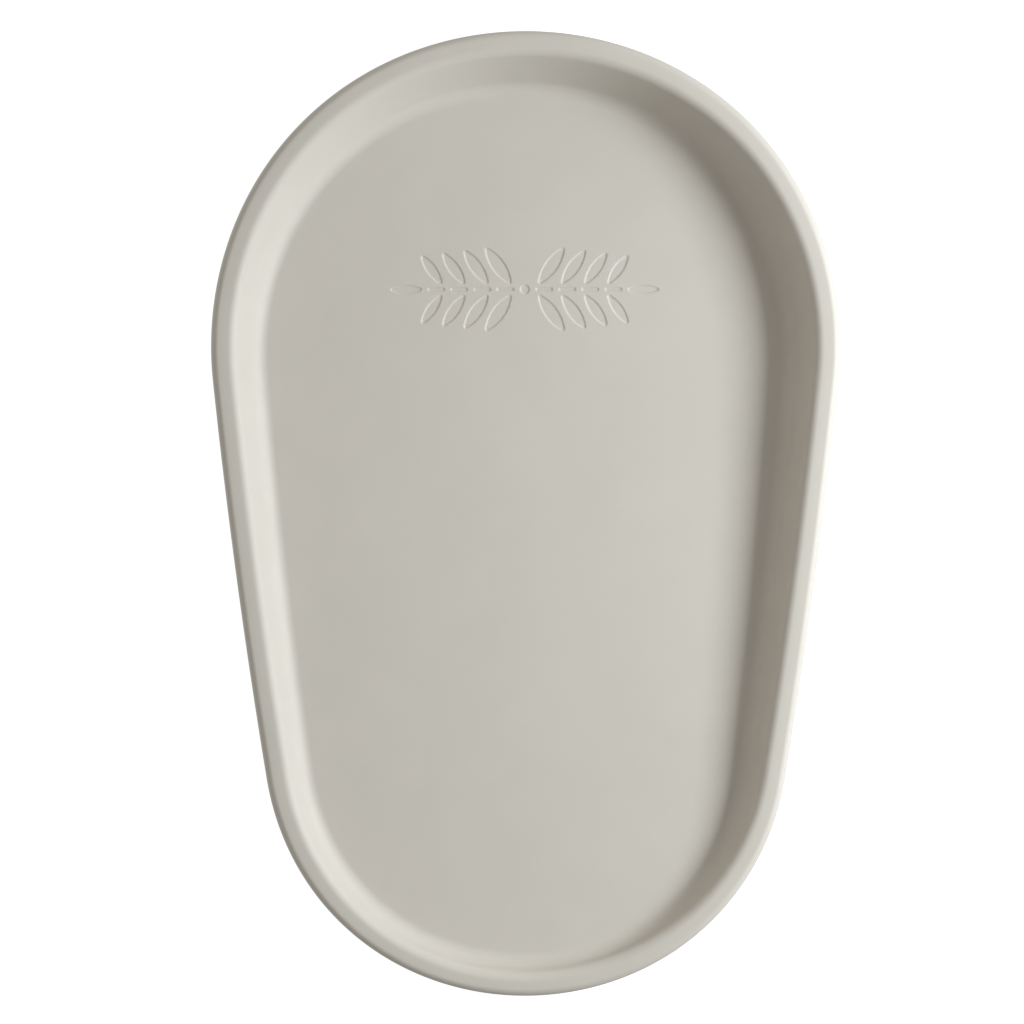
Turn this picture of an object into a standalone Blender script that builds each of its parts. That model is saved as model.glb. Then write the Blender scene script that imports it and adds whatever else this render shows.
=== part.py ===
"""Changing mat: an egg-shaped tray of soft moulded foam, skinned all round, on six rubber pads.

The mat lies flat with its wide head end at +Y. The origin is on the ground under its middle.
Its rim is one rolled section that is carried round the plan outline and is taller at the head.
The outline is four arcs that run into each other: the head, the foot and two slow flanks.
"""
import math

import bmesh
import bpy

# Plan of the mat, measured on the widest line of the rim
head_radius = 0.2366
foot_radius = 0.1990
centre_distance = 0.2915
flank_radius = 5.2000
corner_fullness = 0.0007
fullness_waves = 4

# Heights
mat_thickness = 0.0270
rim_height_head = 0.0436
rim_height_foot = 0.0171

# Section of the rim
crest_width = 0.0178
crest_narrowing = 0.0011
rim_outer_radius = 0.0058
crease_radius = 0.0086
wall_lean_head = math.radians(26.5)
wall_lean_foot = math.radians(20.0)
fillet_radius = 0.0132
side_draft = math.radians(9.0)
base_edge_radius = 0.0090

# Skins and the foam between them
skin_thickness = 0.0024
fit_gap = 0.0003

# Rubber pads under the mat
pad_radius = 0.0190
pad_thickness = 0.0027
pad_stand = 0.0015
pad_edge_radius = 0.0006
pad_groove_radius = 0.0115
pad_groove_width = 0.0030
pad_groove_depth = 0.0008
pad_inset = 0.0560
pad_head_angle = math.radians(48.0)
pad_foot_angle = math.radians(48.0)

# How finely the round stretches are divided
head_steps = 36
foot_steps = 26
flank_steps = 4
outer_round_steps = 4
underside_round_steps = 1
crease_steps = 4
fillet_steps = 4
base_edge_steps = 4
pad_steps = 20

# Allowances of the work itself
cutter_overrun = 0.0040
weld_distance = 0.00001
sharp_edge_angle = math.radians(40.0)

# Sizes that follow from those above
mat_length = head_radius + centre_distance + foot_radius - 2 * corner_fullness
head_centre_y = mat_length / 2 + corner_fullness - head_radius
foot_centre_y = foot_radius - corner_fullness - mat_length / 2
head_reach = flank_radius - head_radius
foot_reach = flank_radius - foot_radius
flank_centre_y = (
    head_centre_y + foot_centre_y + (foot_reach**2 - head_reach**2) / centre_distance
) / 2
flank_centre_x = math.sqrt(head_reach**2 - (flank_centre_y - head_centre_y) ** 2)
shoulder_angle = math.atan2(head_centre_y - flank_centre_y, flank_centre_x)
hip_angle = math.atan2(foot_centre_y - flank_centre_y, flank_centre_x)
base_height = pad_stand
tray_floor_height = base_height + mat_thickness
pocket_radius = pad_radius + fit_gap
pocket_depth = pad_thickness - pad_stand + fit_gap


def clear_scene():
    """Remove whatever objects the scene starts with."""
    for item in list(bpy.data.objects):
        bpy.data.objects.remove(item, do_unlink=True)


def new_collection(name):
    """Make a collection in the scene."""
    collection = bpy.data.collections.new(name)
    bpy.context.scene.collection.children.link(collection)
    return collection


def new_material(name, colour, roughness):
    """A plain Principled material in one colour."""
    material = bpy.data.materials.new(name)
    material.use_nodes = True
    shader = material.node_tree.nodes["Principled BSDF"]
    shader.inputs["Base Color"].default_value = (*colour, 1.0)
    shader.inputs["Roughness"].default_value = roughness
    shader.inputs["Metallic"].default_value = 0.0
    material.diffuse_color = (*colour, 1.0)
    return material


def outline_station(centre, radius, angle):
    """A point of the outline on one of its arcs, with its outward direction.

    The fullness swells the four corners and flattens the tips and the sides between them. The
    point also slides along the outline, which keeps its direction square to it.
    """
    normal = (math.cos(angle), math.sin(angle))
    reach = radius - corner_fullness * math.cos(fullness_waves * angle)
    slide = corner_fullness * fullness_waves * math.sin(fullness_waves * angle)
    point = (
        centre[0] + reach * normal[0] - slide * normal[1],
        centre[1] + reach * normal[1] + slide * normal[0],
    )
    return point, normal


def head_station(angle):
    """A point of the outline on the head end."""
    return outline_station((0.0, head_centre_y), head_radius, angle)


def foot_station(angle):
    """A point of the outline on the foot end."""
    return outline_station((0.0, foot_centre_y), foot_radius, angle)


def left_station(angle):
    """A point of the outline on the left flank, whose arc has its middle far to the right."""
    return outline_station((flank_centre_x, flank_centre_y), flank_radius, angle)


def right_station(angle):
    """A point of the outline on the right flank, whose arc has its middle far to the left."""
    return outline_station((-flank_centre_x, flank_centre_y), flank_radius, angle)


def outline_stations():
    """The whole outline, anticlockwise from the right-hand shoulder of the head end."""
    turn = 2 * math.pi
    corners = [
        shoulder_angle,
        math.pi - shoulder_angle,
        math.pi - hip_angle,
        turn + hip_angle,
        turn + shoulder_angle,
    ]
    arcs = [head_station, left_station, foot_station, right_station]
    steps = [head_steps, flank_steps, foot_steps, flank_steps]
    stations = []
    for station, start, end, count in zip(arcs, corners, corners[1:], steps):
        stations += [station(start + step * (end - start) / count) for step in range(count)]
    return stations


def length_share(station):
    """How far a station lies along the mat: nought at the foot tip, one at the head tip."""
    point, _ = station
    return point[1] / mat_length + 0.5


def crest_height(station):
    """Height of the crest, which falls evenly from the head end to the foot end."""
    rise = rim_height_foot + length_share(station) * (rim_height_head - rim_height_foot)
    return tray_floor_height + rise


def crest_width_at(station):
    """Width of the crest, from the widest line in to the wall; it narrows at both tips."""
    _, normal = station
    return crest_width - crest_narrowing * normal[1] ** 2


def wall_lean_at(station):
    """Lean of the inner wall from upright, which changes evenly from foot to head."""
    return wall_lean_foot + length_share(station) * (wall_lean_head - wall_lean_foot)


def outer_round_centre(station):
    """Middle of the round that carries the rim's widest line, as inset and height."""
    return rim_outer_radius, crest_height(station) - rim_outer_radius


def arc_points(centre, radius, start, end, steps):
    """Points of an arc in the section plane, given as inset and height."""
    points = []
    for step in range(steps + 1):
        angle = start + (end - start) * step / steps
        points.append((centre[0] + radius * math.cos(angle), centre[1] + radius * math.sin(angle)))
    return points


def upper_section(station, depth):
    """The rim from its widest line over the crest to the tray floor, sunk by a depth.

    Each point is an inset from the outline and a height.
    """
    crest = crest_height(station)
    width = crest_width_at(station)
    lean = wall_lean_at(station)
    quarter = math.pi / 2
    outer = arc_points(
        outer_round_centre(station),
        rim_outer_radius - depth,
        math.pi,
        quarter,
        outer_round_steps,
    )
    crease_centre = (
        width + crease_radius * (math.tan(lean) - 1 / math.cos(lean)),
        crest - crease_radius,
    )
    crease = arc_points(crease_centre, crease_radius - depth, quarter, lean, crease_steps)
    drop = crest - tray_floor_height - fillet_radius
    fillet_centre = (
        width + drop * math.tan(lean) + fillet_radius / math.cos(lean),
        tray_floor_height + fillet_radius,
    )
    fillet = arc_points(
        fillet_centre, fillet_radius + depth, math.pi + lean, 3 * quarter, fillet_steps
    )
    return outer + crease + fillet


def lower_section(station, depth):
    """The rim from its widest line down the drafted side to the base face, sunk by a depth."""
    outer_centre = outer_round_centre(station)
    drafted = math.pi + side_draft
    under = arc_points(
        outer_centre, rim_outer_radius - depth, math.pi, drafted, underside_round_steps
    )
    edge_height = base_height + base_edge_radius
    edge_inset = (
        rim_outer_radius
        + (outer_centre[1] - edge_height) * math.tan(side_draft)
        + (base_edge_radius - rim_outer_radius) / math.cos(side_draft)
    )
    return under + arc_points(
        (edge_inset, edge_height),
        base_edge_radius - depth,
        drafted,
        3 * math.pi / 2,
        base_edge_steps,
    )


def loft(name, stations, sections):
    """Skin a closed loop of sections, one at each station, and close both its flat ends."""
    mesh = bpy.data.meshes.new(name)
    work = bmesh.new()
    rings = []
    for level in range(len(sections[0])):
        ring = []
        for (point, normal), section in zip(stations, sections):
            inset, height = section[level]
            place = (point[0] - inset * normal[0], point[1] - inset * normal[1], height)
            ring.append(work.verts.new(place))
        rings.append(ring)
    count = len(stations)
    for upper, lower in zip(rings, rings[1:]):
        for here in range(count):
            after = (here + 1) % count
            work.faces.new((upper[here], upper[after], lower[after], lower[here]))
    work.faces.new(rings[0])
    work.faces.new(rings[-1])
    bmesh.ops.recalc_face_normals(work, faces=work.faces)
    work.to_mesh(mesh)
    work.free()
    return mesh


def add_object(name, mesh, material, collection):
    """Link a mesh to the scene as a named part in its material."""
    part = bpy.data.objects.new(name, mesh)
    collection.objects.link(part)
    mesh.materials.append(material)
    mesh.shade_smooth()
    mesh.set_sharp_from_angle(angle=sharp_edge_angle)
    return part


def make_top_skin(stations, collection):
    """Skin of the tray: outer round, crest, inner wall, fillet and floor, with a level lower lip."""
    sections = []
    for station in stations:
        inner = upper_section(station, skin_thickness)
        sections.append(list(reversed(inner)) + upper_section(station, 0.0))
    finish = new_material("moulded_skin", (0.51, 0.49, 0.43), 0.55)
    return add_object("top_skin", loft("top_skin", stations, sections), finish, collection)


def make_foam_core(stations, collection):
    """Foam that fills the space between the skins."""
    depth = skin_thickness + fit_gap
    sections = []
    for station in stations:
        lower = lower_section(station, depth)
        sections.append(list(reversed(lower)) + upper_section(station, depth)[1:])
    foam = new_material("soft_foam", (0.80, 0.77, 0.68), 0.9)
    return add_object("foam_core", loft("foam_core", stations, sections), foam, collection)


def make_base_skin(stations, collection):
    """Skin of the sides and the underside, whose upper lip lies a gap below the top skin's."""
    sections = []
    for station in stations:
        inner = lower_section(station, skin_thickness)
        outer = lower_section(station, 0.0)
        for side in (inner, outer):
            side[0] = (side[0][0], side[0][1] - fit_gap)
        sections.append(list(reversed(inner)) + outer)
    finish = new_material("moulded_base_skin", (0.47, 0.45, 0.39), 0.65)
    return add_object("base_skin", loft("base_skin", stations, sections), finish, collection)


def pad_places():
    """Middles of the pads: two under the head end, two under the flanks, two under the foot end."""
    quarter = math.pi / 2
    waist_angle = (shoulder_angle + hip_angle) / 2
    stations = {
        "head_right_pad": head_station(quarter - pad_head_angle),
        "head_left_pad": head_station(quarter + pad_head_angle),
        "middle_right_pad": right_station(waist_angle),
        "middle_left_pad": left_station(math.pi - waist_angle),
        "foot_right_pad": foot_station(pad_foot_angle - quarter),
        "foot_left_pad": foot_station(-quarter - pad_foot_angle),
    }
    places = {}
    for name, (point, normal) in stations.items():
        places[name] = (point[0] - pad_inset * normal[0], point[1] - pad_inset * normal[1])
    return places


def turned_object(name, profile, material, collection, steps):
    """A body turned from a profile of radius and height that starts and ends on the axis."""
    mesh = bpy.data.meshes.new(name)
    edges = [(here, here + 1) for here in range(len(profile) - 1)]
    mesh.from_pydata([(radius, 0.0, height) for radius, height in profile], edges, [])
    part = bpy.data.objects.new(name, mesh)
    collection.objects.link(part)
    turn = part.modifiers.new("turn", "SCREW")
    turn.steps = steps
    turn.render_steps = steps
    turn.use_merge_vertices = True
    turn.merge_threshold = weld_distance
    turn.use_smooth_shade = True
    mesh.materials.append(material)
    return part


def make_pads(collection):
    """Six rubber discs, each with one tread groove round its lower face."""
    rubber = new_material("grip_rubber", (0.16, 0.155, 0.14), 0.8)
    groove_out = pad_groove_radius + pad_groove_width / 2
    groove_in = pad_groove_radius - pad_groove_width / 2
    groove_slope = pad_groove_depth / 2
    profile = [
        (0.0, pad_thickness),
        (pad_radius - pad_edge_radius, pad_thickness),
        (pad_radius, pad_thickness - pad_edge_radius),
        (pad_radius, pad_edge_radius),
        (pad_radius - pad_edge_radius, 0.0),
        (groove_out, 0.0),
        (groove_out - groove_slope, pad_groove_depth),
        (groove_in + groove_slope, pad_groove_depth),
        (groove_in, 0.0),
        (0.0, 0.0),
    ]
    for name, (x, y) in pad_places().items():
        pad = turned_object(name, profile, rubber, collection, pad_steps)
        pad.location = (x, y, 0.0)


def cut_pockets(skin, cutters):
    """Sink a round pocket for each pad into the underside of the base skin."""
    material = new_material("cutter", (0.8, 0.2, 0.2), 0.5)
    for name, (x, y) in pad_places().items():
        bpy.ops.mesh.primitive_cylinder_add(
            vertices=pad_steps,
            radius=pocket_radius,
            depth=pocket_depth + cutter_overrun,
            location=(x, y, base_height + (pocket_depth - cutter_overrun) / 2),
        )
        cutter = bpy.context.object
        cutter.name = name + "_pocket_cutter"
        cutter.data.materials.append(material)
        for old in list(cutter.users_collection):
            old.objects.unlink(cutter)
        cutters.objects.link(cutter)
        cutter.hide_render = True
        cutter.display_type = "WIRE"
        pocket = skin.modifiers.new(name + "_pocket", "BOOLEAN")
        pocket.operation = "DIFFERENCE"
        pocket.solver = "EXACT"
        pocket.object = cutter


def build():
    """Make the whole mat."""
    clear_scene()
    parts = new_collection("changing_mat")
    cutters = new_collection("cutters")
    stations = outline_stations()
    make_top_skin(stations, parts)
    make_foam_core(stations, parts)
    base_skin = make_base_skin(stations, parts)
    make_pads(parts)
    cut_pockets(base_skin, cutters)


build()
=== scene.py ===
"""Looks of the changing mat: a tray of soft moulded foam under a smooth wipe-clean skin.

Each shell is one section of the rim, extruded ring by ring round the egg-shaped plan of the solids,
only finer. A sprig of leaves is pressed into the tray floor, and the rubber pads sit in round
pockets of the underside.
"""
import math

import bmesh
import bpy
from mathutils import Matrix, Vector


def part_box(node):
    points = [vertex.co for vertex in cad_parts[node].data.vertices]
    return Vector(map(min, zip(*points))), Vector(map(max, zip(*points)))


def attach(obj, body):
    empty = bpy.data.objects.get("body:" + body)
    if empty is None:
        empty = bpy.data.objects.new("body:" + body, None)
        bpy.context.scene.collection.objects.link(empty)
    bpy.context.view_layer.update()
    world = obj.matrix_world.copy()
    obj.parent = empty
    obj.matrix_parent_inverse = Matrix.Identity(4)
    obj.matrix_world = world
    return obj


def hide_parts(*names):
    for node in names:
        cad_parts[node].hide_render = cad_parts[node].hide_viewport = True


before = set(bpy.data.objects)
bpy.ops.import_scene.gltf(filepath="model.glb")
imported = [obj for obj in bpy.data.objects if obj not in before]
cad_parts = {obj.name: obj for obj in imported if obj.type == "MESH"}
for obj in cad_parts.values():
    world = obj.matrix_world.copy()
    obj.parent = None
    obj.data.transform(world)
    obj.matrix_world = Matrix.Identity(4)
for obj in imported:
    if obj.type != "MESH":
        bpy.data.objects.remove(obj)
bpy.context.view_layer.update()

# Plan of the mat, as the solids have it
top_low, top_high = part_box("top_skin")
base_low, base_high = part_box("base_skin")
mat_length = top_high.y - top_low.y
head_radius = 0.2366
foot_radius = 0.1990
flank_radius = 5.2000
corner_fullness = 0.0007
fullness_waves = 4
centre_distance = mat_length - head_radius - foot_radius + 2 * corner_fullness
head_centre_y = mat_length / 2 + corner_fullness - head_radius
foot_centre_y = foot_radius - corner_fullness - mat_length / 2
head_reach = flank_radius - head_radius
foot_reach = flank_radius - foot_radius
flank_centre_y = (
    head_centre_y + foot_centre_y + (foot_reach ** 2 - head_reach ** 2) / centre_distance
) / 2
flank_centre_x = math.sqrt(head_reach ** 2 - (flank_centre_y - head_centre_y) ** 2)
shoulder_angle = math.atan2(head_centre_y - flank_centre_y, flank_centre_x)
hip_angle = math.atan2(foot_centre_y - flank_centre_y, flank_centre_x)

# Section of the rim
mat_thickness = 0.0270
rim_height_head = 0.0436
rim_height_foot = 0.0171
crest_width = 0.0178
crest_narrowing = 0.0011
outer_radius = 0.0058
crease_radius = 0.0086
wall_lean_head = math.radians(26.5)
wall_lean_foot = math.radians(20.0)
fillet_radius = 0.0132
side_draft = math.radians(9.0)
base_edge_radius = 0.0090
base_height = base_low.z
floor_height = base_height + mat_thickness

# Skins and foam
skin_thickness = 0.0024
fit_gap = 0.0003
foam_depth = skin_thickness + fit_gap

# Sprig of leaves pressed into the tray floor
sprig_middle = Vector((0.0, 0.1715, 0.0))
sprig_depth = 0.0006
sprig_wall = 0.0019
leaf_half_length = 0.0170
leaf_half_width = 0.0058
leaf_tip_radius = 0.0022
# A narrow shape's tips stay a little slimmer than the shape, or it would have no sides
tip_share_at_most = 0.98
leaf_angle = math.radians(55.0)
leaf_stand_off = 0.0048
leaf_pitch = 0.0175
leaf_pairs = 4
leaf_shrink_share = 0.07
stem_half_width = 0.0022
stem_gap = 0.0034
berry_radius = 0.0042
motif_steps = 40
sprig_wall_steps = 8

# Rubber pads under the mat, with ring-shaped grooves in their treads, and their pockets
pad_names = (
    "head_right_pad",
    "head_left_pad",
    "middle_right_pad",
    "middle_left_pad",
    "foot_right_pad",
    "foot_left_pad",
)
pad_round = 0.0006
pad_round_steps = 4
groove_pitch = 0.0030
groove_depth = 0.0007
groove_width = 0.0011
groove_count = 5
pocket_gap = 0.0003
pocket_lip = 0.0004
pocket_lip_steps = 4
pocket_depth = 0.0015

# How finely the round stretches are divided
head_steps = 150
foot_steps = 110
flank_steps = 24
outer_steps = 16
under_steps = 2
crease_steps = 10
wall_steps = 5
fillet_steps = 16
side_steps = 6
base_edge_steps = 12
pad_steps = 64

# Edges steeper than this are shaded sharp, and vertices nearer than this are one
sharp_angle = math.radians(42.0)
weld_distance = 0.00001

quarter_turn = math.pi / 2
half_turn = math.pi
full_turn = 2 * math.pi


def linear(hex_colour):
    """An sRGB colour such as C4C1B8 as linear red, green, blue and a full alpha."""
    channels = []
    for start in (0, 2, 4):
        value = int(hex_colour[start:start + 2], 16) / 255
        channels.append(value / 12.92 if value <= 0.04045 else ((value + 0.055) / 1.055) ** 2.4)
    return (*channels, 1.0)


def add_node(tree, kind, inputs=None, **settings):
    """Add a node, set its options, and feed its sockets from values or other nodes' outputs."""
    made = tree.nodes.new(kind)
    for name, value in settings.items():
        setattr(made, name, value)
    for socket, value in (inputs or {}).items():
        if isinstance(value, bpy.types.NodeSocket):
            tree.links.new(value, made.inputs[socket])
        else:
            made.inputs[socket].default_value = value
    return made


def new_finish(name):
    """A material that holds nothing but its shader, with the place on the object to read from."""
    finish = bpy.data.materials.new(name)
    finish.use_nodes = True
    tree = finish.node_tree
    shader = tree.nodes["Principled BSDF"]
    place = add_node(tree, "ShaderNodeTexCoord").outputs["Object"]
    return finish, tree, shader, place


def moulded_skin(name, light_tone, dark_tone, roughness, grain_height):
    """Integral skin of polyurethane foam, poured in a satin mould.

    To the eye it is matt and even, with a faint orange peel from the mould, a grain finer than a
    millimetre, and clouds of tone a few centimetres across where the foam skinned over.
    """
    finish, tree, shader, place = new_finish(name)
    cloud_size = 0.045
    peel_size = 0.0050
    # The peel's noise seldom leaves this range
    peel_range = (0.3, 0.7)
    sheen_change = 0.03
    # The true grain is about 0.3 mm; it is drawn three times as coarse so that it shows
    grain_size = 0.0009
    clouds = add_node(
        tree,
        "ShaderNodeTexNoise",
        {"Vector": place, "Scale": 1 / cloud_size, "Detail": 3.0, "Roughness": 0.55},
    )
    tone = add_node(
        tree,
        "ShaderNodeMix",
        {"Factor": clouds.outputs["Fac"], "A": linear(dark_tone), "B": linear(light_tone)},
        data_type="RGBA",
    )
    tree.links.new(tone.outputs["Result"], shader.inputs["Base Color"])
    peel = add_node(
        tree, "ShaderNodeTexNoise", {"Vector": place, "Scale": 1 / peel_size, "Detail": 2.0}
    )
    grain = add_node(
        tree, "ShaderNodeTexVoronoi", {"Vector": place, "Scale": 1 / grain_size}
    )
    sheen = add_node(
        tree,
        "ShaderNodeMapRange",
        {
            "Value": peel.outputs["Fac"],
            "From Min": peel_range[0],
            "From Max": peel_range[1],
            "To Min": roughness - sheen_change,
            "To Max": roughness + sheen_change,
        },
    )
    tree.links.new(sheen.outputs["Result"], shader.inputs["Roughness"])
    peel_bump = add_node(
        tree,
        "ShaderNodeBump",
        {"Height": peel.outputs["Fac"], "Distance": grain_height * 2, "Strength": 1.0},
    )
    grain_bump = add_node(
        tree,
        "ShaderNodeBump",
        {
            "Height": grain.outputs["Distance"],
            "Distance": grain_height,
            "Strength": 1.0,
            "Normal": peel_bump.outputs["Normal"],
        },
    )
    tree.links.new(grain_bump.outputs["Normal"], shader.inputs["Normal"])
    shader.inputs["IOR"].default_value = 1.49
    return finish


def cast_foam(name):
    """Soft polyurethane foam, cast: pale, dull and full of cells about a millimetre across."""
    finish, tree, shader, place = new_finish(name)
    cell_size = 0.0012
    cell_depth = 0.0004
    cells = add_node(
        tree, "ShaderNodeTexVoronoi", {"Vector": place, "Scale": 1 / cell_size}
    )
    tone = add_node(
        tree,
        "ShaderNodeMix",
        {"Factor": cells.outputs["Distance"], "A": linear("E9E3CF"), "B": linear("C9C0A6")},
        data_type="RGBA",
    )
    tree.links.new(tone.outputs["Result"], shader.inputs["Base Color"])
    pores = add_node(
        tree,
        "ShaderNodeBump",
        {"Height": cells.outputs["Distance"], "Distance": cell_depth, "Strength": 1.0},
    )
    tree.links.new(pores.outputs["Normal"], shader.inputs["Normal"])
    shader.inputs["Roughness"].default_value = 0.95
    shader.inputs["IOR"].default_value = 1.45
    return finish


def moulded_rubber(name):
    """Nitrile rubber, compression moulded: dark grey, dull, with a fine sand-blasted grain."""
    finish, tree, shader, place = new_finish(name)
    # Blasting grit of 0.2 mm, drawn twice as coarse so that it shows
    grit_size = 0.0004
    grit_depth = 0.00004
    bloom_size = 0.0080
    grit = add_node(
        tree, "ShaderNodeTexNoise", {"Vector": place, "Scale": 1 / grit_size, "Detail": 2.0}
    )
    bloom = add_node(
        tree, "ShaderNodeTexNoise", {"Vector": place, "Scale": 1 / bloom_size, "Detail": 4.0}
    )
    tone = add_node(
        tree,
        "ShaderNodeMix",
        {"Factor": bloom.outputs["Fac"], "A": linear("504E49"), "B": linear("65625B")},
        data_type="RGBA",
    )
    tree.links.new(tone.outputs["Result"], shader.inputs["Base Color"])
    blast = add_node(
        tree,
        "ShaderNodeBump",
        {"Height": grit.outputs["Fac"], "Distance": grit_depth, "Strength": 1.0},
    )
    tree.links.new(blast.outputs["Normal"], shader.inputs["Normal"])
    shader.inputs["Roughness"].default_value = 0.72
    shader.inputs["IOR"].default_value = 1.52
    return finish


def length_share(place):
    """How far a place lies along the mat: nought at the foot tip, one at the head tip."""
    return place.y / mat_length + 0.5


def crest_height_at(place):
    """Height of the crest, which falls evenly from the head end to the foot end."""
    rise = rim_height_foot + length_share(place) * (rim_height_head - rim_height_foot)
    return floor_height + rise


def crest_width_at(direction):
    """Width of the crest, from the widest line in to the wall; it narrows at both tips."""
    return crest_width - crest_narrowing * direction.y ** 2


def arc(centre, radius, start, end, steps):
    """Points of an arc in the section plane, each an inset and a height."""
    points = []
    for step in range(steps + 1):
        angle = start + (end - start) * step / steps
        points.append((centre[0] + radius * math.cos(angle), centre[1] + radius * math.sin(angle)))
    return points


def straight(start, end, steps):
    """Points between two points of the section, without either end."""
    shares = [step / steps for step in range(1, steps)]
    return [tuple(a + share * (b - a) for a, b in zip(start, end)) for share in shares]


def upper_section(place, direction, depth):
    """The rim from its widest line over the crest to the tray floor, sunk by a depth."""
    crest = crest_height_at(place)
    width = crest_width_at(direction)
    lean = wall_lean_foot + length_share(place) * (wall_lean_head - wall_lean_foot)
    outer_centre = (outer_radius, crest - outer_radius)
    outer = arc(outer_centre, outer_radius - depth, half_turn, quarter_turn, outer_steps)
    crease_inset = width + crease_radius * (math.tan(lean) - 1 / math.cos(lean))
    crease_centre = (crease_inset, crest - crease_radius)
    crease = arc(crease_centre, crease_radius - depth, quarter_turn, lean, crease_steps)
    drop = crest - floor_height - fillet_radius
    fillet_inset = width + drop * math.tan(lean) + fillet_radius / math.cos(lean)
    fillet_centre = (fillet_inset, floor_height + fillet_radius)
    fillet_turn = (half_turn + lean, 3 * quarter_turn)
    fillet = arc(fillet_centre, fillet_radius + depth, *fillet_turn, fillet_steps)
    return outer + crease + straight(crease[-1], fillet[0], wall_steps) + fillet


def lower_section(place, depth):
    """The rim from its widest line down the drafted side to the base face, sunk by a depth."""
    outer_centre = (outer_radius, crest_height_at(place) - outer_radius)
    draft_angle = half_turn + side_draft
    under = arc(outer_centre, outer_radius - depth, half_turn, draft_angle, under_steps)
    edge_height = base_height + base_edge_radius
    fall = outer_centre[1] - edge_height
    radius_change = (base_edge_radius - outer_radius) / math.cos(side_draft)
    edge_inset = outer_radius + fall * math.tan(side_draft) + radius_change
    edge_centre = (edge_inset, edge_height)
    edge_end = 3 * quarter_turn
    edge = arc(edge_centre, base_edge_radius - depth, draft_angle, edge_end, base_edge_steps)
    return under + straight(under[-1], edge[0], side_steps) + edge


def top_shell_section(place, direction):
    """A closed run of the top skin's wall: its inner face down in the foam, then its outer face."""
    inner = upper_section(place, direction, skin_thickness)
    return list(reversed(inner)) + upper_section(place, direction, 0.0)


def base_shell_section(place, _):
    """A closed run of the base skin's wall, whose upper lip stops just below the top skin's."""
    inner = lower_section(place, skin_thickness)
    outer = lower_section(place, 0.0)
    for face in (inner, outer):
        face[0] = (face[0][0], face[0][1] - fit_gap)
    return list(reversed(inner)) + outer


def foam_section(place, direction):
    """The face of the foam, from the middle of the base round the rim to the tray floor."""
    lower = lower_section(place, foam_depth)
    return list(reversed(lower)) + upper_section(place, direction, foam_depth)[1:]


def outline_ring(work):
    """Spin the plan's outline out of one vertex, arc by arc, and close it into a ring.

    The arcs are the head, the left flank, the foot and the right flank, and each takes over in the
    direction in which the last one leaves off. The fullness then swells the four corners and
    flattens the tips and the sides. Gives the edges, and each vertex's outward direction.
    """
    left_shoulder, left_hip = half_turn - shoulder_angle, half_turn - hip_angle
    right_shoulder, right_hip = full_turn + shoulder_angle, full_turn + hip_angle
    arcs = (
        ((0.0, head_centre_y), shoulder_angle, left_shoulder, head_steps),
        ((flank_centre_x, flank_centre_y), left_shoulder, left_hip, flank_steps),
        ((0.0, foot_centre_y), left_hip, right_hip, foot_steps),
        ((-flank_centre_x, flank_centre_y), right_hip, right_shoulder, flank_steps),
    )
    first_x = head_radius * math.cos(shoulder_angle)
    first_y = head_centre_y + head_radius * math.sin(shoulder_angle)
    last = work.verts.new((first_x, first_y, 0.0))
    angles = [shoulder_angle]
    for (centre_x, centre_y), start, end, steps in arcs:
        spun = bmesh.ops.spin(
            work,
            geom=[last],
            cent=(centre_x, centre_y, 0.0),
            axis=(0.0, 0.0, 1.0),
            angle=end - start,
            steps=steps,
        )
        last = spun["geom_last"][0]
        angles += [start + (end - start) * step / steps for step in range(1, steps + 1)]
    work.verts.ensure_lookup_table()
    bmesh.ops.weld_verts(work, targetmap={last: work.verts[0]})
    directions = []
    for vert, angle in zip(work.verts, angles):
        direction = Vector((math.cos(angle), math.sin(angle), 0.0))
        along = Vector((-direction.y, direction.x, 0.0))
        vert.co -= corner_fullness * math.cos(fullness_waves * angle) * direction
        vert.co += corner_fullness * fullness_waves * math.sin(fullness_waves * angle) * along
        directions.append(direction)
    return list(work.edges), directions


def extrude_ring(work, ring):
    """Extrude a ring of edges where it lies, and give the new ring's edges and vertices."""
    made = bmesh.ops.extrude_edge_only(work, edges=ring)["geom"]
    edges = [item for item in made if isinstance(item, bmesh.types.BMEdge)]
    verts = [item for item in made if isinstance(item, bmesh.types.BMVert)]
    return edges, verts


def sweep_section(work, section_at):
    """Carry a section round the outline and give the rings of edges that it starts and ends on."""
    number = work.verts.layers.int.new("station")
    ring, directions = outline_ring(work)
    stations = []
    for index, (vert, direction) in enumerate(zip(work.verts, directions)):
        vert[number] = index
        stations.append((vert.co.copy(), direction, section_at(vert.co, direction)))
    first_ring = ring
    moved = list(work.verts)
    for level in range(len(stations[0][2])):
        if level:
            ring, moved = extrude_ring(work, ring)
        for vert in moved:
            point, direction, section = stations[vert[number]]
            inset, height = section[level]
            vert.co = point - inset * direction
            vert.co.z = height
    return first_ring, ring


def lens(half_length, half_width, tip_radius, inset):
    """Points of a leaf outline with rounded tips, drawn in by an inset.

    Two wide arcs make its sides and two small ones its tips, so each inset keeps the same centres.
    """
    tip_x = half_length - tip_radius
    swell = half_width - tip_radius
    side_y = (tip_x ** 2 - swell ** 2) / (2 * swell)
    side_radius = side_y + half_width
    tip_half_angle = math.atan2(side_y, tip_x)
    points = []
    for step in range(motif_steps):
        angle = full_turn * (step + 0.5) / motif_steps - half_turn
        toward = Vector((math.cos(angle), math.sin(angle), 0.0))
        if abs(angle) < tip_half_angle:
            centre = Vector((tip_x, 0.0, 0.0))
        elif abs(angle) > half_turn - tip_half_angle:
            centre = Vector((-tip_x, 0.0, 0.0))
        else:
            centre = Vector((0.0, -math.copysign(side_y, angle), 0.0))
        radius = side_radius if centre.x == 0.0 else tip_radius
        points.append(centre + (radius - inset) * toward)
    return points


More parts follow.
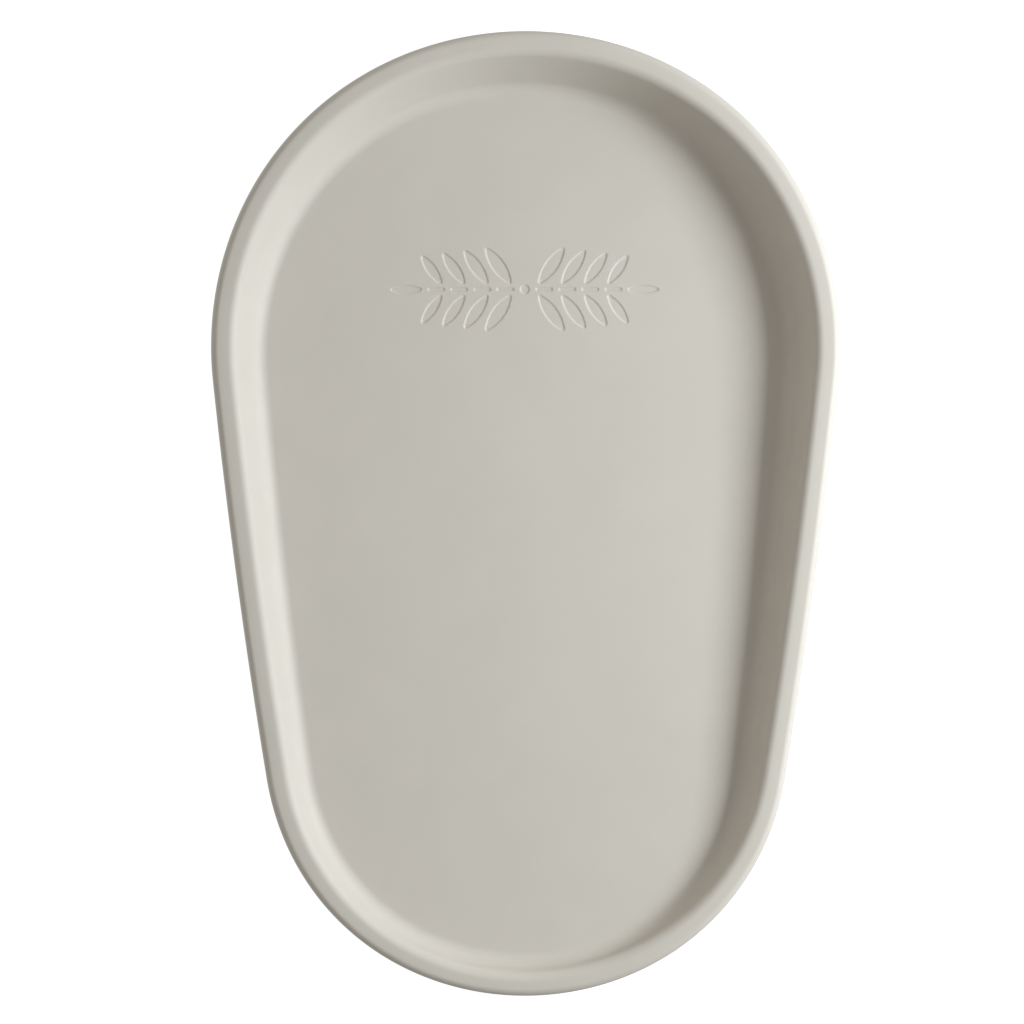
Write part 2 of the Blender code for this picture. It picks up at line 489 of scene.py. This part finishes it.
def sprig_leaves():
    """Place, turn and half sizes of the sprig's berry, of its leaves and of its stem's lengths."""
    leaves = [(Vector((0.0, 0.0, 0.0)), 0.0, berry_radius, berry_radius)]
    stem_half_length = (leaf_pitch - stem_gap) / 2
    first_joint_x = berry_radius + stem_gap
    for side in (1.0, -1.0):
        for pair in range(leaf_pairs):
            joint_x = first_joint_x + leaf_pitch * pair
            stem = Vector((side * (joint_x + stem_half_length), 0.0, 0.0))
            leaves.append((stem, 0.0, stem_half_length, stem_half_width))
            size_share = 1.0 - leaf_shrink_share * pair
            half_length = leaf_half_length * size_share
            half_width = leaf_half_width * size_share
            reach = leaf_stand_off + half_length
            for rise in (1.0, -1.0):
                leaf_x = side * (joint_x + reach * math.cos(leaf_angle))
                centre = Vector((leaf_x, rise * reach * math.sin(leaf_angle), 0.0))
                leaves.append((centre, side * rise * leaf_angle, half_length, half_width))
        end_share = 1.0 - leaf_shrink_share * leaf_pairs
        end_x = side * (first_joint_x + leaf_pitch * leaf_pairs + leaf_half_length * end_share)
        end = Vector((end_x, 0.0, 0.0))
        leaves.append((end, 0.0, leaf_half_length * end_share, leaf_half_width * end_share))
    return leaves


def press_shapes(work, rim, shapes, profile, height, rise):
    """Fill the flat face inside a ring of edges, and press shapes into it.

    Each shape gives its points for an inset. The profile says how deep each inset goes.
    """
    spot = work.verts.layers.int.new("spot")
    outlines = list(rim)
    for shape in shapes:
        ring = []
        verts = [work.verts.new(point) for point in shape(profile[0][0])]
        for index, vert in enumerate(verts):
            vert[spot] = index
            vert.co.z = height
            ring.append(work.edges.new((verts[index - 1], vert)))
        outlines += ring
        for inset, depth in profile[1:]:
            ring, moved = extrude_ring(work, ring)
            points = shape(inset)
            for vert in moved:
                vert.co = points[vert[spot]]
                vert.co.z = height + rise * depth
        bmesh.ops.contextual_create(work, geom=ring)
    bmesh.ops.triangle_fill(work, use_beauty=True, edges=outlines)


def soft_step(depth, width, steps):
    """Profile of a pressed wall that rolls over at its top and foot, with a flat hem outside it."""
    profile = [(-width / 4, 0.0)]
    for step in range(steps + 1):
        share = step / steps
        profile.append((width * share, depth * (1 - math.cos(half_turn * share)) / 2))
    profile.append((width * (1 + 1 / steps), depth))
    return profile


def finished_piece(name, work, finish):
    """Close off a bmesh as a smooth-shaded object in its finish."""
    bmesh.ops.recalc_face_normals(work, faces=work.faces)
    mesh = bpy.data.meshes.new(name)
    work.to_mesh(mesh)
    work.free()
    mesh.shade_smooth()
    mesh.set_sharp_from_angle(angle=sharp_angle)
    mesh.materials.append(finish)
    piece = bpy.data.objects.new(name, mesh)
    bpy.context.scene.collection.objects.link(piece)
    return piece


def stand_for(piece, node):
    """Put a piece in the place of a solid, on the mat's one body."""
    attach(piece, "root")
    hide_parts(node)


def make_tray_shell():
    """Skin of the crest, the inner wall and the tray floor, with the sprig pressed into it."""
    work = bmesh.new()
    inner_rim, floor_rim = sweep_section(work, top_shell_section)
    bmesh.ops.contextual_create(work, geom=inner_rim)
    shapes = []
    for centre, turn, half_length, half_width in sprig_leaves():
        tip_radius = min(leaf_tip_radius, tip_share_at_most * half_width)

        def shape(inset, sizes=(half_length, half_width, tip_radius), turn=turn, centre=centre):
            turned = Matrix.Rotation(turn, 3, "Z")
            return [sprig_middle + centre + turned @ point for point in lens(*sizes, inset)]

        shapes.append(shape)
    profile = soft_step(sprig_depth, sprig_wall, sprig_wall_steps)
    press_shapes(work, floor_rim, shapes, profile, floor_height, -1.0)
    finish = moulded_skin(
        "satin_moulded_foam_skin",
        light_tone="C9C3B9",
        dark_tone="C2BDB2",
        roughness=0.58,
        grain_height=0.00002,
    )
    shell = finished_piece("tray_shell", work, finish)
    stand_for(shell, "top_skin")
    return shell


def pad_middle(name):
    """Middle of a pad, taken from the solid that it stands for."""
    low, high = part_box(name)
    return (low + high) / 2


def make_base_shell():
    """Skin of the drafted sides and the underside, with a pocket for each pad."""
    work = bmesh.new()
    inner_rim, base_rim = sweep_section(work, base_shell_section)
    bmesh.ops.contextual_create(work, geom=inner_rim)
    shapes = []
    for name in pad_names:
        low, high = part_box(name)
        middle = pad_middle(name)
        radius = (high.x - low.x) / 2 + pocket_gap

        # A leaf outline as wide as it is long is a circle, whatever the radius of its tips
        def shape(inset, middle=middle, radius=radius):
            sizes = (radius, radius, radius / 2, inset)
            return [Vector((middle.x, middle.y, 0.0)) + point for point in lens(*sizes)]

        shapes.append(shape)
    lip = arc((-pocket_lip, pocket_lip), pocket_lip, -quarter_turn, 0.0, pocket_lip_steps)
    profile = lip + [(0.0, pocket_depth), (pocket_lip, pocket_depth)]
    press_shapes(work, base_rim, shapes, profile, base_height, 1.0)
    finish = moulded_skin(
        "coarse_moulded_foam_skin",
        light_tone="C2BCB1",
        dark_tone="BBB6AB",
        roughness=0.66,
        grain_height=0.00004,
    )
    shell = finished_piece("side_and_base_shell", work, finish)
    stand_for(shell, "base_skin")
    return shell


def make_foam_filling():
    """Soft foam that fills the space between the shells."""
    work = bmesh.new()
    base_rim, floor_rim = sweep_section(work, foam_section)
    bmesh.ops.contextual_create(work, geom=base_rim)
    bmesh.ops.contextual_create(work, geom=floor_rim)
    filling = finished_piece("foam_filling", work, cast_foam("cast_open_cell_foam"))
    stand_for(filling, "foam_core")
    return filling


def pad_profile(radius, thickness):
    """Half section of a pad, from the middle of its top round to the middle of its tread."""
    top_centre = (radius - pad_round, thickness - pad_round)
    low_centre = (radius - pad_round, pad_round)
    top_edge = arc(top_centre, pad_round, quarter_turn, 0.0, pad_round_steps)
    low_edge = arc(low_centre, pad_round, 0.0, -quarter_turn, pad_round_steps)
    points = [(0.0, thickness)] + top_edge + low_edge
    for groove in range(groove_count):
        middle = radius - pad_round - groove_pitch * (groove + 0.5)
        foot = groove_width / 4
        points.append((middle + groove_width / 2, 0.0))
        points.append((middle + foot, groove_depth))
        points.append((middle - foot, groove_depth))
        points.append((middle - groove_width / 2, 0.0))
    return points + [(0.0, 0.0)]


def make_pad(name, finish):
    """A rubber disc with ring-shaped treads, spun from its half section."""
    low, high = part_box(name)
    middle = pad_middle(name)
    work = bmesh.new()
    profile = pad_profile((high.x - low.x) / 2, high.z - low.z)
    verts = [work.verts.new((radius, 0.0, height)) for radius, height in profile]
    chain = [work.edges.new(pair) for pair in zip(verts, verts[1:])]
    bmesh.ops.spin(
        work,
        geom=verts + chain,
        cent=(0.0, 0.0, 0.0),
        axis=(0.0, 0.0, 1.0),
        angle=full_turn,
        steps=pad_steps,
        use_merge=True,
    )
    bmesh.ops.remove_doubles(work, verts=work.verts, dist=weld_distance)
    bmesh.ops.translate(work, verts=work.verts, vec=(middle.x, middle.y, low.z))
    pad = finished_piece(name.replace("_pad", "_grip_disc"), work, finish)
    stand_for(pad, name)
    return pad


def make_stage():
    """A plain white table top and a white wall far round it, which both glow a little.

    Their glow is kept off the mat, whose lower edge would else be lit from beneath. The wall only
    closes off the view from low down, so it casts no shadow either.
    """
    half_width = 6.0
    wall_radius = 5.5
    wall_height = 4.0
    round_steps = 64
    glow = 0.92
    finish, _, shader, _ = new_finish("white_emulsion_paint")
    shader.inputs["Base Color"].default_value = linear("959595")
    shader.inputs["Roughness"].default_value = 0.8
    shader.inputs["Emission Color"].default_value = linear("FFFFFF")
    shader.inputs["Emission Strength"].default_value = glow
    work = bmesh.new()
    bmesh.ops.create_grid(work, x_segments=1, y_segments=1, size=half_width)
    table = finished_piece("table_top", work, finish)
    work = bmesh.new()
    foot_and_top = [work.verts.new((wall_radius, 0.0, height)) for height in (0.0, wall_height)]
    upright = work.edges.new(foot_and_top)
    bmesh.ops.spin(
        work,
        geom=[*foot_and_top, upright],
        cent=(0.0, 0.0, 0.0),
        axis=(0.0, 0.0, 1.0),
        angle=full_turn,
        steps=round_steps,
        use_merge=True,
    )
    wall = finished_piece("round_wall", work, finish)
    wall.visible_shadow = False
    for backdrop in (table, wall):
        backdrop.visible_diffuse = False
        backdrop.visible_glossy = False


def make_softbox(middle):
    """One window-like softbox to the right of the mat, aimed at its middle."""
    azimuth = math.radians(3.8)
    elevation = math.radians(30.5)
    distance = 1.68
    power_at_a_metre = 12.5035
    panel_width = 0.59
    panel_height = 0.56
    level = math.cos(elevation)
    toward = Vector((level * math.cos(azimuth), level * math.sin(azimuth), math.sin(elevation)))
    along = Vector((0.0, 0.0, 1.0)).cross(toward).normalized()
    panel = bpy.data.lights.new("softbox", "AREA")
    panel.shape = "RECTANGLE"
    panel.size = panel_width
    panel.size_y = panel_height
    panel.energy = power_at_a_metre * distance ** 2
    panel.color = linear("F1F8FF")[:3]
    softbox = bpy.data.objects.new("softbox", panel)
    place = Matrix((along, toward.cross(along), toward)).transposed().to_4x4()
    place.translation = middle + toward * distance
    softbox.matrix_world = place
    bpy.context.scene.collection.objects.link(softbox)


def make_room():
    """A plain bright room: dimmer overhead, and a little brighter beyond the head end of the mat.

    Its walls are warm, and what comes up from below their foot is cool daylight off the floor.
    """
    level_strength = 0.612
    overhead_change = -0.290
    below_change = 0.355
    head_side_change = 0.157
    right_side_change = -0.068
    wall_foot = 0.15
    room = bpy.data.worlds.new("room")
    room.use_nodes = True
    bpy.context.scene.world = room
    tree = room.node_tree
    direction = add_node(tree, "ShaderNodeTexCoord").outputs["Generated"]
    toward = add_node(tree, "ShaderNodeSeparateXYZ", {"Vector": direction}).outputs
    above = add_node(tree, "ShaderNodeMath", {0: toward["Z"], 1: 0.0}, operation="MAXIMUM")
    below = add_node(tree, "ShaderNodeMath", {0: toward["Z"], 1: 0.0}, operation="MINIMUM")
    changes = (
        (above.outputs[0], overhead_change),
        (below.outputs[0], -below_change),
        (toward["Y"], head_side_change),
        (toward["X"], right_side_change),
    )
    strength = level_strength
    for amount, change in changes:
        inputs = {0: amount, 1: change, 2: strength}
        strength = add_node(tree, "ShaderNodeMath", inputs, operation="MULTIPLY_ADD").outputs[0]
    horizon = add_node(
        tree,
        "ShaderNodeMapRange",
        {"Value": toward["Z"], "From Min": -wall_foot, "From Max": wall_foot},
    )
    tint = add_node(
        tree,
        "ShaderNodeMix",
        {"Factor": horizon.outputs["Result"], "A": linear("F5FBFF"), "B": linear("FFFCF7")},
        data_type="RGBA",
    )
    background = tree.nodes["Background"]
    tree.links.new(tint.outputs["Result"], background.inputs["Color"])
    tree.links.new(strength, background.inputs["Strength"])


def make_camera(middle):
    """A long lens three metres above the mat, all but straight over its middle."""
    distance = 3.0
    # The photograph's 1024 points of 0.75 mm each
    picture_width = 0.768
    sensor_width = 36.0
    tilt = math.radians(-1.40)
    yaw = math.radians(2.01)
    roll = math.radians(0.11)
    # The camera aims a little aside of the middle, as the photograph is framed
    aside = Vector((-0.0110, 0.0038, 0.0))
    level = math.cos(tilt)
    outlook = Vector((-level * math.sin(yaw), -math.sin(tilt), level * math.cos(yaw)))
    position = middle + outlook * distance
    backward = (position - middle - aside).normalized()
    right = Vector((0.0, 1.0, 0.0)).cross(backward).normalized()
    upright = Matrix((right, backward.cross(right), backward)).transposed()
    place = (upright @ Matrix.Rotation(-roll, 3, "Z")).to_4x4()
    place.translation = position
    lens_data = bpy.data.cameras.new("overhead")
    lens_data.sensor_width = sensor_width
    lens_data.lens = sensor_width * distance / picture_width
    camera = bpy.data.objects.new("overhead", lens_data)
    camera.matrix_world = place
    bpy.context.scene.collection.objects.link(camera)
    bpy.context.scene.camera = camera


mat_middle = Vector((0.0, 0.0, floor_height + (rim_height_head + rim_height_foot) / 2))
make_camera(mat_middle)
make_softbox(mat_middle)
make_room()
make_stage()
tray_shell = make_tray_shell()
base_shell = make_base_shell()
foam_filling = make_foam_filling()
grip_rubber = moulded_rubber("blasted_grip_rubber")
for pad_name in pad_names:
    make_pad(pad_name, grip_rubber)
bpy.context.scene.view_settings.view_transform = "Standard"
